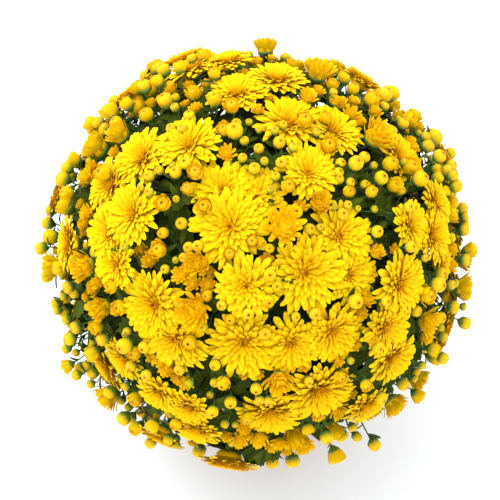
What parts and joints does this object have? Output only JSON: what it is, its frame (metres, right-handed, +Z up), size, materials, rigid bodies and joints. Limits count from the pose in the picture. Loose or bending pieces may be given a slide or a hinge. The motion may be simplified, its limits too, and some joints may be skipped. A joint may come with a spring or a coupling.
{
  "type": "pot chrysanthemum",
  "caption": "Ball-shaped pot chrysanthemum: layered yellow blooms, half-open heads and round buds on leafy stems, rooted in soil in a plain tapered pot.",
  "frame": {"origin": "centre of the pot's flat foot, where the plant stands on its surface", "axes": "+Z up along the pot's axis; -Y towards the side that the picture shows"},
  "size_m": [0.371, 0.3629, 0.4161],
  "materials": {
    "petals": "satin",
    "foliage": "satin",
    "soil": "matte",
    "pot": "matte"
  },
  "bodies": {
    "root": {"bloom_10": "petals", "bloom_11": "petals", "bloom_14": "petals", "bloom_15": "petals", "bloom_17": "petals", "bloom_19": "petals", "bloom_20": "petals", "bloom_21": "petals", "bloom_23": "petals", "bloom_24": "petals", "bloom_26": "petals", "bloom_27": "petals", "bloom_29": "petals", "bloom_30": "petals", "bloom_32": "petals", "bloom_33": "petals", "bloom_34": "petals", "bloom_35": "petals", "bloom_36": "petals", "bloom_37": "petals", "bloom_38": "petals", "bloom_39": "petals", "bloom_40": "petals", "bloom_41": "petals", "bloom_42": "petals", "bloom_44": "petals", "bloom_45": "petals", "bloom_46": "petals", "bloom_47": "petals", "bloom_48": "petals", "bloom_49": "petals", "bloom_50": "petals", "blooms_01": "petals", "blooms_02": "petals", "blooms_03": "petals", "blooms_04": "petals", "blooms_05": "petals", "blooms_06": "petals", "blooms_07": "petals", "blooms_08": "petals", "blooms_09": "petals", "blooms_12": "petals", "blooms_13": "petals", "blooms_16": "petals", "blooms_18": "petals", "blooms_22": "petals", "blooms_25": "petals", "blooms_28": "petals", "blooms_31": "petals", "blooms_43": "petals", "leafy_stem_1": "foliage", "leafy_stem_2": "foliage", "leafy_stem_3": "foliage", "leafy_stem_4": "foliage", "leafy_stem_5": "foliage", "pot": "pot", "soil": "soil"}
  },
  "joints": []
}
